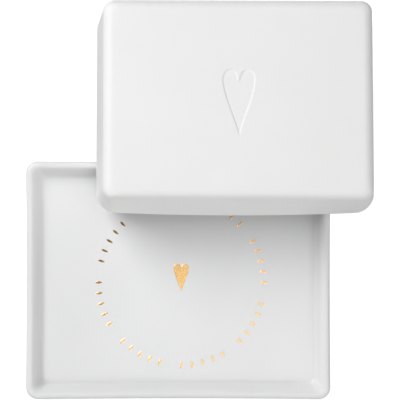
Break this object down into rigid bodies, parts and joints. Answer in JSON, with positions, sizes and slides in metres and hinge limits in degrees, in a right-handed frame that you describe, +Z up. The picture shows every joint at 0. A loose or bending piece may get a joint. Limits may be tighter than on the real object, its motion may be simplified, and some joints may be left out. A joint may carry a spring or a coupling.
{
  "type": "lidded porcelain trinket dish",
  "caption": "Shallow rectangular porcelain tray with gold heart decoration and a deep box lid, with a slim heart sunk into its top, lying across its back corner.",
  "frame": {"origin": "the middle of the tray's flat foot, on the surface that the dish stands on", "axes": "+Z up; X along the tray's long side, with +X to the right; +Y from the tray's front to its back, where the lid lies"},
  "size_m": [0.1883, 0.213, 0.0613],
  "materials": {
    "glazed_porcelain": "clear gloss glaze over white porcelain; the foot is unglazed",
    "silk_porcelain": "silky matt white porcelain outside, gloss glaze inside",
    "gold_lustre": "burnished fired-on gold"
  },
  "bodies": {
    "tray": {"tray": "glazed_porcelain", "gold_heart": "gold_lustre", "gold_seed_01": "gold_lustre", "gold_seed_02": "gold_lustre", "gold_seed_03": "gold_lustre", "gold_seed_04": "gold_lustre", "gold_seed_05": "gold_lustre", "gold_seed_06": "gold_lustre", "gold_seed_07": "gold_lustre", "gold_seed_08": "gold_lustre", "gold_seed_09": "gold_lustre", "gold_seed_10": "gold_lustre", "gold_seed_11": "gold_lustre", "gold_seed_12": "gold_lustre", "gold_seed_13": "gold_lustre", "gold_seed_14": "gold_lustre", "gold_seed_15": "gold_lustre", "gold_seed_16": "gold_lustre", "gold_seed_17": "gold_lustre", "gold_seed_18": "gold_lustre", "gold_seed_19": "gold_lustre", "gold_seed_20": "gold_lustre", "gold_seed_21": "gold_lustre", "gold_seed_22": "gold_lustre", "gold_seed_23": "gold_lustre", "gold_seed_24": "gold_lustre", "gold_seed_25": "gold_lustre", "gold_seed_26": "gold_lustre", "gold_seed_27": "gold_lustre", "gold_seed_28": "gold_lustre", "gold_seed_29": "gold_lustre", "gold_seed_30": "gold_lustre", "gold_seed_31": "gold_lustre", "gold_seed_32": "gold_lustre", "gold_seed_33": "gold_lustre", "gold_seed_34": "gold_lustre", "gold_seed_35": "gold_lustre", "gold_seed_36": "gold_lustre", "gold_seed_37": "gold_lustre", "gold_seed_38": "gold_lustre", "gold_seed_39": "gold_lustre", "gold_seed_40": "gold_lustre"},
    "lid": {"lid": "silk_porcelain"}
  },
  "joints": [
    {"name": "lid_lift", "type": "slide", "parent": "tray", "child": "lid", "axis": [0, 0, 1], "range_m": [0, 0.09]}
  ]
}
